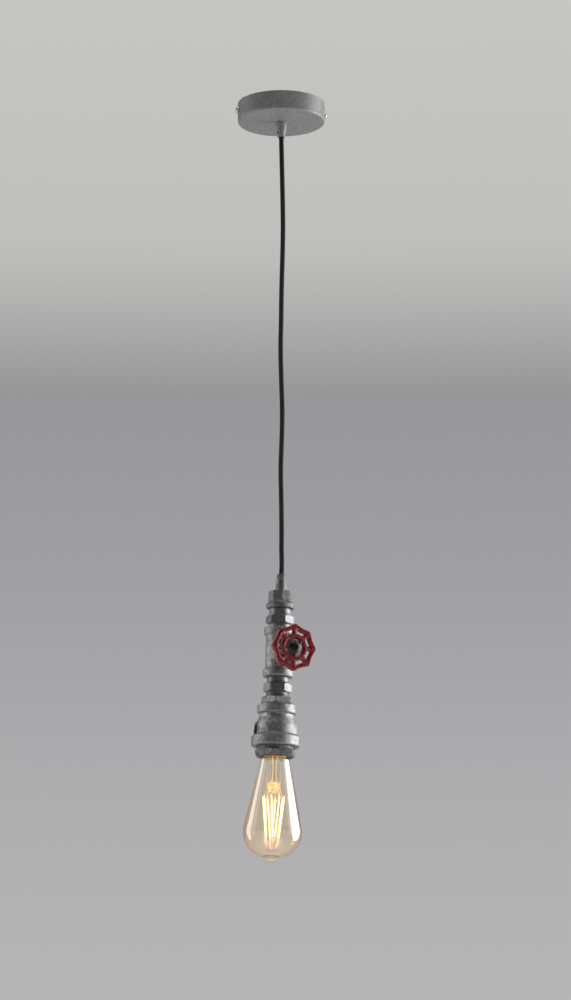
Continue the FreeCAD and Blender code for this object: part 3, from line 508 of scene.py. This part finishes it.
def grid_mesh(name, rings, closed=False):
    """Mesh from rings of equally many points: a capped tube, or a closed ring-shaped body."""
    count, sides, _ = rings.shape
    mesh = bpy.data.meshes.new(name)
    faces = []
    for i in range(count if closed else count - 1):
        here, after = i * sides, (i + 1) % count * sides
        for j in range(sides):
            side = (j + 1) % sides
            faces.append((here + j, here + side, after + side, after + j))
    if not closed:
        faces.append(tuple(range(sides))[::-1])
        faces.append(tuple((count - 1) * sides + j for j in range(sides)))
    mesh.from_pydata(rings.reshape(-1, 3).tolist(), [], faces)
    draft = bmesh.new()
    draft.from_mesh(mesh)
    bmesh.ops.recalc_face_normals(draft, faces=draft.faces)
    draft.to_mesh(mesh)
    draft.free()
    return mesh


def rounded(corners, step):
    """Points of an outline through (radius, depth, rounding), its rounded corners as arcs."""
    points = []
    for i, corner in enumerate(corners):
        here = Vector(corner[:2])
        rounding = corner[2] if len(corner) > 2 else 0.0
        if not rounding:
            points.append(here)
            continue
        back = (Vector(corners[i - 1][:2]) - here).normalized()
        ahead = (Vector(corners[(i + 1) % len(corners)][:2]) - here).normalized()
        half = back.angle(ahead) / 2
        centre = here + (back + ahead).normalized() * rounding / math.sin(half)
        start = here + back * rounding / math.tan(half) - centre
        turn = back.angle_signed(ahead)
        sweep = math.copysign(math.pi - abs(turn), turn)
        steps = max(2, math.ceil(abs(sweep) * rounding / step))
        for k in range(steps + 1):
            spin = Matrix.Rotation(sweep * k / steps, 2)
            points.append(centre + spin @ start)
    return points


def lathe_mesh(name, corners, place, segments=96, step=0.35):
    """Ring-shaped body turned about the axis from a closed outline."""
    outline = rounded(corners, step)
    angles = np.linspace(0, 2 * math.pi, segments, endpoint=False)
    rings = np.zeros((segments, len(outline), 3))
    for j, (radius, depth) in enumerate(outline):
        rings[:, j, 0] = radius * np.cos(angles)
        rings[:, j, 1] = radius * np.sin(angles)
        rings[:, j, 2] = -depth
    mesh = grid_mesh(name, rings, closed=True)
    draft = bmesh.new()
    draft.from_mesh(mesh)
    bmesh.ops.remove_doubles(draft, verts=draft.verts, dist=1e-5)
    draft.to_mesh(mesh)
    draft.free()
    mesh.transform(place)
    return mesh


def frames_along(points):
    """Directions across a line of points, turned as little as possible between points."""
    points = np.asarray(points, float)
    aims = np.gradient(points, axis=0)
    aims /= np.linalg.norm(aims, axis=1)[:, None]
    first = np.cross(aims[0], (0.0, 1.0, 0.0))
    if np.linalg.norm(first) < 0.1:
        first = np.cross(aims[0], (1.0, 0.0, 0.0))
    across = [first / np.linalg.norm(first)]
    for aim in aims[1:]:
        side = across[-1] - aim * (across[-1] @ aim)
        across.append(side / np.linalg.norm(side))
    across = np.array(across)
    return points, across, np.cross(aims, across)


def tube_rings(points, radii, sides):
    """Rings round a line of points; radii is a number, or an array for each point, or for each
    point and side."""
    points, across, up = frames_along(points)
    turns = np.linspace(0, 2 * math.pi, sides, endpoint=False)
    if np.ndim(radii) < 2:
        radii = np.atleast_1d(radii).reshape(-1, 1)
    radii = np.broadcast_to(radii, (len(points), sides))
    ring = (across[:, None, :] * np.cos(turns)[None, :, None]
            + up[:, None, :] * np.sin(turns)[None, :, None])
    return points[:, None, :] + ring * radii[:, :, None]


def joined(name, meshes):
    """One mesh of several."""
    whole = bmesh.new()
    for mesh in meshes:
        whole.from_mesh(mesh)
    mesh = bpy.data.meshes.new(name)
    whole.to_mesh(mesh)
    whole.free()
    return mesh


def roughen(mesh, depth, size, swell):
    """Moves each point in or out by a little noise, and all of them out by swell."""
    places = [v.co.copy() for v in mesh.vertices]
    normals = [v.normal.copy() for v in mesh.vertices]
    moved = np.empty((len(places), 3))
    for i, (place, normal) in enumerate(zip(places, normals)):
        coarse = noise.noise(place / (size * MM))
        fine = noise.noise(place / (size * 0.4 * MM))
        moved[i] = place + normal * ((coarse + 0.5 * fine) * depth + swell) * MM
    mesh.vertices.foreach_set("co", moved.ravel())
    mesh.update()


def cast(name, mesh, voxel, smoothing, grain, grain_size=1.0, swell=0.0):
    """Melts a mesh into one casting, in millimetres: voxels, then smoothing, then a sandy skin."""
    thing = bpy.data.objects.new(name, mesh)
    bpy.context.scene.collection.objects.link(thing)
    melt = thing.modifiers.new("melt", "REMESH")
    melt.mode = "VOXEL"
    melt.voxel_size = voxel * MM
    soften = thing.modifiers.new("soften", "SMOOTH")
    soften.factor = 0.5
    soften.iterations = smoothing
    ready = thing.evaluated_get(bpy.context.evaluated_depsgraph_get())
    result = bpy.data.meshes.new_from_object(ready)
    bpy.data.objects.remove(thing)
    result.name = name
    roughen(result, grain, grain_size, swell)
    return result


def cast_node(node, voxel, smoothing, grain, material, body="pendant", slot="galvanised",
              extras=(), grain_size=1.0, swell=0.0):
    """Stands for a CAD fitting with a casting of its shape, its edges and crotches softened."""
    mesh = joined(node + "_shape", [frame["nodes"][node].data, *extras])
    mesh = cast(node + "_cast", mesh, voxel, smoothing, grain, grain_size, swell)
    return piece(node + "_cast", mesh, slot, body, [node], material)


def thread_ridge(name, radius, top, bottom, pitch, height):
    """Screw thread as one closed ridge that winds down a bar and fades at its ends."""
    turns = (bottom - top) / pitch
    angle = np.linspace(0, 2 * math.pi * turns, max(24, round(60 * turns)))
    fade = np.clip(np.minimum(angle, angle[::-1]) / 1.2, 0, 1)
    root = -0.5
    section = ((root, -0.5), (height, -0.1), (height, 0.1), (root, 0.5))
    rings = np.zeros((len(angle), len(section), 3))
    for j, (out, along) in enumerate(section):
        reach = radius + (out * fade if out == height else out)
        rings[:, j, 0] = reach * np.sin(angle)
        rings[:, j, 1] = -reach * np.cos(angle)
        rings[:, j, 2] = -(top + pitch * (angle / (2 * math.pi) + along))
    mesh = grid_mesh(name, rings)
    mesh.transform(FIXTURE)
    return mesh


# Cord

def spline_points(route):
    """Points of the smooth line whose control points are the route."""
    curve = bpy.data.curves.new("route", "CURVE")
    curve.dimensions = "3D"
    spline = curve.splines.new("NURBS")
    spline.points.add(len(route) - 1)
    for point, place in zip(spline.points, route):
        point.co = (*place, 1.0)
    spline.order_u = 3
    spline.use_endpoint_u = True
    curve.resolution_u = 24
    holder = bpy.data.objects.new("route", curve)
    mesh = bpy.data.meshes.new_from_object(holder)
    points = np.array([v.co for v in mesh.vertices])
    bpy.data.objects.remove(holder)
    bpy.data.meshes.remove(mesh)
    return points


def evenly(points, spacing):
    """The same line at even steps."""
    lengths = np.concatenate([[0], np.cumsum(np.linalg.norm(np.diff(points, axis=0), axis=1))])
    steps = max(2, round(lengths[-1] / spacing))
    wanted = np.linspace(0, lengths[-1], steps + 1)
    return np.stack([np.interp(wanted, lengths, points[:, k]) for k in range(3)], axis=1)


def braid(along, sides):
    """Height of a diagonal braid, 0 to 1, on a grid of distances along the cord and points
    round it."""
    carriers = 12
    pitch = 2 * math.pi * CORD_RADIUS * 1.1
    around = np.linspace(0, 2 * math.pi, sides, endpoint=False)[None, :]
    turn = 2 * math.pi * along[:, None] / pitch
    left = np.abs(np.sin(carriers / 2 * (around + turn)))
    right = np.abs(np.sin(carriers / 2 * (around - turn)))
    over = 0.5 + 0.5 * np.tanh(4 * np.sin(carriers * turn) * np.sin(carriers * around))
    return np.maximum(left * (0.55 + 0.45 * over), right * (1.0 - 0.45 * over))


def make_cord():
    """Cloth-covered cord in two lengths that meet between its two bends."""
    depths = (12.0, 40.0, 85.0, 130.0, CORD_TAIL)
    tail = [tuple((FIXTURE @ Vector((0, 0, -depth))) / MM) for depth in depths]
    spacing, sides = 0.30, 60
    groove, relief = 0.22, 0.27
    line = evenly(spline_points(CORD_ROUTE + tail), spacing)
    along = np.arange(len(line)) * spacing
    radii = CORD_RADIUS - groove + relief * braid(along, sides)
    rings = tube_rings(line, radii, sides) * MM
    line = line * MM
    seam = int(np.argmin(np.abs(line[:, 2] - CORD_SEAM_Z * MM)))
    upper = piece("cord_by_the_cup", grid_mesh("cord_by_the_cup", rings[:seam + 1]), "cord_cloth",
                  replaces=["cord_in_canopy", "cord_upper"])
    lower = piece("cord_to_the_lamp", grid_mesh("cord_to_the_lamp", rings[seam:]), "cord_cloth",
                  replaces=["cord_main", "cord_tail"])
    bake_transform(upper)
    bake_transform(lower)
    for thing, path, start in (
        (upper, line[:seam + 1], (0, 0, -0.0415)),
        (lower, line[seam:], line[seam]),
    ):
        length = float(np.linalg.norm(np.diff(path, axis=0), axis=1).sum())


make_cord()


# Fittings

# The handwheel's lobes, where its spokes lie along the branch and round it, and the (reach, size)
# of the swellings where they meet its rim and its ring
LOBES = 8
SPOKE_DEPTH = 39.5
SPOKE_HEADING = -3.0
KNUCKLES = ((21.4, 3.3), (15.8, 2.7))


def knuckles():
    """Rounded swellings where the handwheel's spokes meet its rim and its ring."""
    flat = Matrix.Diagonal((1.0, 1.0, 0.85, 1.0))
    balls = bmesh.new()
    for i in range(LOBES):
        turn = Matrix.Rotation(math.radians(360.0 / LOBES * i + SPOKE_HEADING), 4, "Z")
        for reach, size in KNUCKLES:
            place = BRANCH @ turn @ Matrix.Translation((reach, 0, -SPOKE_DEPTH)) @ flat
            bmesh.ops.create_icosphere(balls, subdivisions=3, radius=size, matrix=place)
    mesh = bpy.data.meshes.new("knuckles")
    balls.to_mesh(mesh)
    balls.free()
    return mesh


def make_wheel():
    """Enamelled handwheel with a hub, rounded bars and knuckles, turned as photographed, and the
    dark washer under its screw."""
    hub_outline = [(4.0, 37.0), (6.7, 37.0, 0.6), (6.7, 41.8, 0.9), (4.0, 41.8)]
    hub = lathe_mesh("hub", hub_outline, BRANCH, 64)
    wheel = cast_node("handwheel", 0.33, 3, 0.18, "red_enamel", "wheel", "red_enamel",
                      [hub, knuckles()], grain_size=2.4, swell=0.65)
    turn = Matrix.Rotation(math.radians(3.0), 4, "Z")
    shrink = Matrix.Diagonal((0.975, 0.975, 1.0, 1.0))
    wheel.data.transform(BRANCH @ turn @ shrink @ BRANCH.inverted())
    washer_outline = [(1.6, 42.4), (4.4, 42.4), (4.4, 43.9, 0.4), (1.6, 43.9, 0.2)]
    washer = lathe_mesh("dark_washer", washer_outline, BRANCH, 64)
    piece("dark_washer", washer, "dark_steel", "wheel", ["wheel_washer"])


def make_fittings():
    cast_node("fixture_cord_grip", 0.28, 1, 0.02, "dull_zinc_and_shade")
    cast_node("octagon_cap", 0.36, 2, 0.05, "dull_zinc_and_shade")
    cast_node("upper_nipple", 0.32, 1, 0.02, "machined")
    cast_node("valve_tee", 0.45, 5, 0.06, "galvanised")
    cast_node("lower_nipple", 0.32, 1, 0.02, "machined")
    thread = thread_ridge("lower_thread", 11.8, 132.2, 137.0, 1.81, 0.8)
    piece("lower_thread", thread, "galvanised", "pendant", ["lower_nipple"], "machined")
    cast_node("reducing_bush", 0.36, 2, 0.04, "galvanised")
    cast_node("big_tee", 0.50, 5, 0.06, "galvanised")
    # Painted shade: the darker casting stands in for the shade under the big tee's band.
    cast_node("mouth_bush", 0.40, 2, 0.05, "dull_zinc_and_shade")
    cast_node("branch_plug", 0.35, 2, 0.03, "machined")
    make_wheel()


make_fittings()


# Bulb

STRIPS = 8
SHELL_WALL = 0.42
SHELL_PITCH = 3.63


def glass_envelope():
    """Thin blown envelope with its sealed pip, the same outline as the solid's."""
    outline = [
        (12.5, 199.5),
        (12.5, 203.6),
        (16.2, 205.2, 2.6),
        (37.6, 308.0, 27.9),
        (9.0, 312.6, 4.0),
        (5.4, 318.0, 6.6),
        (0.0, 318.0),
        (0.0, 317.0),
        (4.9, 317.0, 5.8),
        (8.0, 312.0, 3.0),
        (36.5, 307.25, 27.0),
        (15.3, 205.6, 2.0),
        (11.6, 203.9),
        (11.6, 199.5),
    ]
    mesh = lathe_mesh("glass_envelope", outline, FIXTURE, 160, 0.8)
    piece("glass_envelope", mesh, "amber_glass", "bulb", ["bulb_glass"])


def oval_rings(sections, sides=48):
    """Rings of a body of oval sections, each (depth, half width, half thickness)."""
    turns = np.linspace(0, 2 * math.pi, sides, endpoint=False)
    return np.array([
        np.stack([wide * np.cos(turns), thick * np.sin(turns), np.full(sides, -depth)], axis=1)
        for depth, wide, thick in sections
    ])


def round_rings(sections, sides=48):
    """Rings of a body of round sections, each (depth, radius)."""
    return oval_rings([(depth, reach, reach) for depth, reach in sections], sides)


def stem_and_press():
    """Flared glass tube in the neck, pressed flat round the wires, the rod that carries the
    strips, and the cement round the neck."""
    stem = grid_mesh("stem", round_rings([
        (200.6, 11.3), (201.6, 9.6), (203.0, 6.8), (205.0, 5.65), (208.0, 5.35), (212.0, 5.3),
        (230.0, 5.3), (230.6, 5.25), (231.0, 4.95), (230.6, 4.65), (230.0, 4.6), (212.0, 4.6),
        (208.0, 4.65), (205.0, 4.95), (203.0, 6.0), (201.4, 8.9), (200.9, 11.0),
    ]), closed=True)
    rod = grid_mesh("rod", round_rings([
        (240.4, 0.5), (240.6, 1.0), (241.2, 1.15), (242.0, 1.15), (303.0, 1.15), (303.8, 1.1),
        (304.5, 0.8), (304.7, 0.4),
    ], 24))
    mesh = joined("stem_and_rod", [stem, rod])
    mesh.transform(STEM)
    piece("stem_and_rod", mesh, "clear_glass", "bulb", ["glass_stem"])
    press = grid_mesh("press", oval_rings([
        (229.8, 4.2, 4.0), (230.8, 7.2, 3.4), (231.6, 7.8, 2.8), (234.0, 7.0, 2.5),
        (237.0, 5.9, 2.4), (240.0, 4.7, 2.3), (241.2, 4.2, 2.0), (241.8, 2.6, 1.5),
    ]))
    press.transform(STEM)
    press = cast("press", press, 0.35, 0, 0.3, 1.6)
    piece("press", press, "clear_glass", "bulb", ["glass_stem"], "press_glass")
    disc = [(0.0, 199.6), (12.4, 199.6), (12.4, 200.4), (0.0, 200.4)]
    cement = lathe_mesh("neck_cement", disc, FIXTURE)
    piece("neck_cement", cement, "brass", "bulb", material="cap_cement")


def screw_shell(name, node, body, profile, low, high):
    """Pressed brass shell of (radius, depth) points, with rounded screw turns between the low
    and the high depth."""
    sides = 96
    inside = [
        (radius - SHELL_WALL, depth + (SHELL_WALL if depth < low else 0.0))
        for radius, depth in profile
    ]
    line = profile + inside[::-1]
    around = np.linspace(0, 2 * math.pi, sides, endpoint=False)
    rings = np.zeros((len(line), sides, 3))
    for i, (radius, depth) in enumerate(line):
        fade = min(max(min(depth - low, high - depth) / 1.5, 0.0), 1.0)
        wave = 1 + np.cos(2 * math.pi * depth / SHELL_PITCH - around)
        reach = radius - 0.36 * fade * wave
        rings[i, :, 0] = reach * np.sin(around)
        rings[i, :, 1] = -reach * np.cos(around)
        rings[i, :, 2] = -depth
    mesh = grid_mesh(name, rings, closed=True)
    mesh.transform(FIXTURE)
    piece(name, mesh, "brass", body, [node])


def make_shells():
    """Screw cap of the bulb and the threaded shell that takes it."""
    side = [(13.2, float(depth)) for depth in np.arange(181.0, 203.2, 0.3)]
    cap = [(9.5, 178.6), (12.0, 178.6), (12.9, 179.6)] + side + [(13.2, 203.4)]
    screw_shell("screw_cap", "bulb_cap", "bulb", cap, 180.9, 199.0)
    side = [(14.6, float(depth)) for depth in np.arange(176.4, 198.6, 0.3)]
    screw_shell("screw_socket", "threaded_shell", "pendant", side + [(14.6, 198.6)], 176.4, 198.6)


def strip_ends(i):
    """Top and bottom of one filament strip, as in the part's source."""
    high = 22.5 + 360.0 / STRIPS * i
    twist = 14.0 if i % 2 else -14.0
    return heading(high, 12.0, -245.5), heading(high + twist, 7.0, -292.0)


def make_strips():
    """Lit strips: a bright core in a thin amber coat, with a bare metal tab at each end."""
    cores, coats, tabs = [], [], []
    for i in range(STRIPS):
        top, bottom = strip_ends(i)
        aim = (bottom - top).normalized()
        line = np.linspace(top + aim * 1.4, bottom - aim * 1.4, 12)
        cores.append(grid_mesh("core", tube_rings(line, 0.5, 16)))
        coat = np.full(12, 0.92)
        coat[[0, -1]] = 0.66
        coats.append(grid_mesh("coat", tube_rings(line, coat, 20)))
        for end, reach in ((top, 1.5), (bottom, -1.5)):
            far = end + aim * (4.5 if reach < 0 else 0.0)
            tab = np.linspace(far, end + aim * reach, 6)
            tabs.append(grid_mesh("tab", tube_rings(tab, 0.42, 12)))
    for name, meshes, slot, material in (
        ("strip_cores", cores, "filament_coat", "filament_coat"),
        ("strip_coats", coats, "filament_coat", "filament_halo"),
        ("strip_tabs", tabs, "support_wire", "lit_tab"),
    ):
        mesh = joined(name, meshes)
        mesh.transform(FIXTURE)
        piece(name, mesh, slot, "bulb", ["filaments"], material)


def lead_wires():
    """Lead wires inside the stem's tube, from the cap down to the press."""
    wires = []
    for side in (-1, 1):
        line = [
            (side * 3.0, 0, -200.8),
            (side * 1.8, 0, -206.0),
            (side * 1.7, 0, -226.0),
            (side * 3.4, 0, -238.0),
        ]
        wires.append(grid_mesh("wire", tube_rings(evenly(spline_points(line), 1.0), 0.5, 12)))
    mesh = joined("lead_wires", wires)
    mesh.transform(STEM)
    piece("lead_wires", mesh, "support_wire", "bulb", material="lit_tab")


def make_bulb():
    glass_envelope()
    stem_and_press()
    make_shells()
    make_strips()
    lead_wires()


make_bulb()


# Cores of the cord inside the cup

def make_cores():
    """Three insulated cores from the end of the cord to the terminals and the earth screw."""
    routes = {
        "brown_core": ("core_insulation", [
            (-1.2, 0.8, -12.0), (-1.2, 0.8, -8.4), (-4.5, 5.0, -6.6), (-8.6, 10.2, -10.0),
            (-9.4, 13.2, -16.4), (-9.33, 16.6, -18.8), (-9.33, 21.2, -18.8),
        ]),
        "blue_core": ("core_blue", [
            (1.2, 0.8, -12.0), (1.2, 0.8, -8.4), (1.0, 5.0, -6.4), (0.4, 10.5, -9.5),
            (0.0, 13.4, -15.8), (0.0, 16.8, -18.8), (0.0, 21.2, -18.8),
        ]),
        "earth_core": ("core_earth", [
            (0.0, -1.4, -12.0), (0.0, -1.4, -8.6), (0.9, -4.6, -5.2), (2.88, -8.65, -2.8),
            (8.61, -6.87, -2.8),
        ]),
    }
    for name, (material, route) in routes.items():
        mesh = grid_mesh(name, tube_rings(evenly(spline_points(route), 0.4), 0.9, 20))
        mesh.transform(ROOM)
        piece(name, mesh, "core_insulation", "ceiling", ["canopy_cores"], material)


make_cores()


# Every CAD node that shows gets its slot's material

def dress_nodes():
    slots = {row["node"]: row["material_slot"] for row in frame["record"]["subparts"]}
    for node, thing in frame["nodes"].items():
        if not thing.hide_render:
            thing.data.materials.clear()
            thing.data.materials.append(MATERIALS[slots[node]])


dress_nodes()


# Room: floor, background and lamps

FLOOR_HEIGHT = -2.7

# Upright lamps stand this far from the lamp's axis, with their middles at this height
WINDOW_DISTANCE = 1.6
WINDOW_HEIGHT = -0.42
DAYLIGHT = (0.98, 0.99, 1.0)


def make_floor():
    """Pale floor that keeps the shadows, with a little of its tone given to rays that show it."""
    bpy.ops.mesh.primitive_plane_add(size=80, location=(0, 0, FLOOR_HEIGHT))
    floor = bpy.context.object
    floor.name = "floor"
    shader = Shader("floor")
    blotches = shader.noise(900.0)
    path = shader.nodes.new("ShaderNodeLightPath").outputs
    through = larger(shader.tree, path["Is Transmission Ray"], path["Is Glossy Ray"])
    glow = shader.nodes.new("ShaderNodeMath")
    glow.operation = "MULTIPLY"
    shader.links.new(larger(shader.tree, path["Is Camera Ray"], through), glow.inputs[0])
    glow.inputs[1].default_value = 0.30
    shader.set(
        Base_Color=shader.colours(blotches, (0.3, (0.68, 0.67, 0.68)), (0.7, (0.72, 0.71, 0.72))),
        Roughness=0.8,
        Emission_Color=(0.96, 0.95, 1.0),
        Emission_Strength=glow.outputs[0],
    )
    floor.data.materials.append(shader.material)


def make_background():
    """Plain pale background, darkest where the ceiling begins, seen directly and through glass.
    Gloss shows a pale room that darkens towards the camera, and the rest is an even light."""
    world = bpy.data.worlds.new("studio")
    bpy.context.scene.world = world
    world.use_nodes = True
    tree = world.node_tree
    nodes, links = tree.nodes, tree.links

    def share_of(value):
        """A value from -1 to 1 as a share from 0 to 1."""
        node = nodes.new("ShaderNodeMapRange")
        node.inputs["From Min"].default_value = -1
        links.new(value, node.inputs["Value"])
        return node.outputs["Result"]

    def mixed(share, first, second):
        node = nodes.new("ShaderNodeMixShader")
        for value, socket in zip((share, first, second), node.inputs):
            links.new(value, socket)
        return node.outputs["Shader"]

    def glow(colour):
        node = nodes.new("ShaderNodeBackground")
        links.new(colour, node.inputs["Color"])
        return node.outputs["Background"]

    way = nodes.new("ShaderNodeTexCoord").outputs["Generated"]
    apart = nodes.new("ShaderNodeSeparateXYZ")
    links.new(way, apart.inputs[0])
    pale = colour_ramp(tree, share_of(apart.outputs["Z"]), (
        (0.575, (0.47, 0.46, 0.47)), (0.595, (0.43, 0.42, 0.43)), (0.616, (0.36, 0.35, 0.37)),
        (0.637, (0.31, 0.305, 0.315)), (0.651, (0.52, 0.52, 0.505)), (0.68, (0.57, 0.57, 0.55)),
    ))
    facing = nodes.new("ShaderNodeVectorMath")
    facing.operation = "DOT_PRODUCT"
    links.new(way, facing.inputs[0])
    facing.inputs[1].default_value = (-0.196, -0.981, 0.0)
    room = colour_ramp(tree, share_of(facing.outputs["Value"]), (
        (0.0, (0.36, 0.36, 0.37)), (0.5, (0.16, 0.16, 0.165)), (0.72, (0.075, 0.075, 0.077)),
    ))
    even = nodes.new("ShaderNodeBackground")
    even.inputs["Color"].default_value = (0.97, 0.97, 1.0, 1.0)
    even.inputs["Strength"].default_value = 0.24
    path = nodes.new("ShaderNodeLightPath").outputs
    seen = larger(tree, path["Is Camera Ray"], path["Is Transmission Ray"])
    lit = mixed(path["Is Glossy Ray"], even.outputs["Background"], glow(room))
    links.new(mixed(seen, lit, glow(pale)), nodes["World Output"].inputs["Surface"])


def add_light(name, kind, place, power, colour):
    """Lamp that isn't seen through the bulb unless it is told to be."""
    data = bpy.data.lights.new(name, kind)
    data.energy = power
    data.color = colour
    lamp = bpy.data.objects.new(name, data)
    lamp.location = place
    lamp.visible_transmission = False
    bpy.context.scene.collection.objects.link(lamp)
    return lamp


def make_lamp(name, place, aim, width, height, power, colour=(1.0, 1.0, 1.0)):
    """Soft oval lamp that lights and glints."""
    lamp = add_light(name, "AREA", place, power, colour)
    lamp.data.shape = "ELLIPSE"
    lamp.data.size, lamp.data.size_y = width, height
    lamp.rotation_euler = (Vector(aim) - Vector(place)).to_track_quat("-Z", "Y").to_euler()
    return lamp


def make_window(name, bearing, width, height, power, colour=DAYLIGHT):
    """Upright soft lamp beside the fixture, at that bearing from the photograph's."""
    place = heading(bearing + VIEW_BEARING, WINDOW_DISTANCE, WINDOW_HEIGHT)
    return make_lamp(name, place, (0, 0, WINDOW_HEIGHT), width, height, power, colour)


def make_strip_glow():
    """Warm light of the lit strips on the stem and the mouth."""
    lamp = add_light("strip_glow", "POINT", FIXTURE @ Vector((0, 0, -262.0)), 0.10,
                     (1.0, 0.70, 0.36))
    lamp.data.shadow_soft_size = 0.006
    lamp.visible_camera = False
    lamp.visible_glossy = False


make_floor()
make_background()
make_window("window_right", 105.0, 1.7, 2.1, 36.0)
make_window("window_right_edge", 74.0, 0.6, 1.8, 2.0)
window_left = make_window("window_left", -106.0, 0.8, 2.0, 6.2, (0.99, 0.99, 1.0))
window_left.visible_transmission = True
make_window("window_left_edge", -80.0, 0.6, 1.8, 1.8)
key = make_lamp("key_left", (-1.31, 0.03, 0.28), (0, 0, -0.64), 0.20, 0.20, 0.12)
key.data.spread = math.radians(34.0)
make_lamp("top_light", (0.1, -0.5, 1.3), (0, 0, -0.4), 1.2, 1.2, 9.0)
bounce = make_lamp("bounce", (-0.2, -0.5, -2.3), (0, 0, -0.3), 1.6, 1.2, 18.0)
bounce.visible_glossy = False
make_strip_glow()
bpy.context.scene.view_settings.view_transform = "Standard"
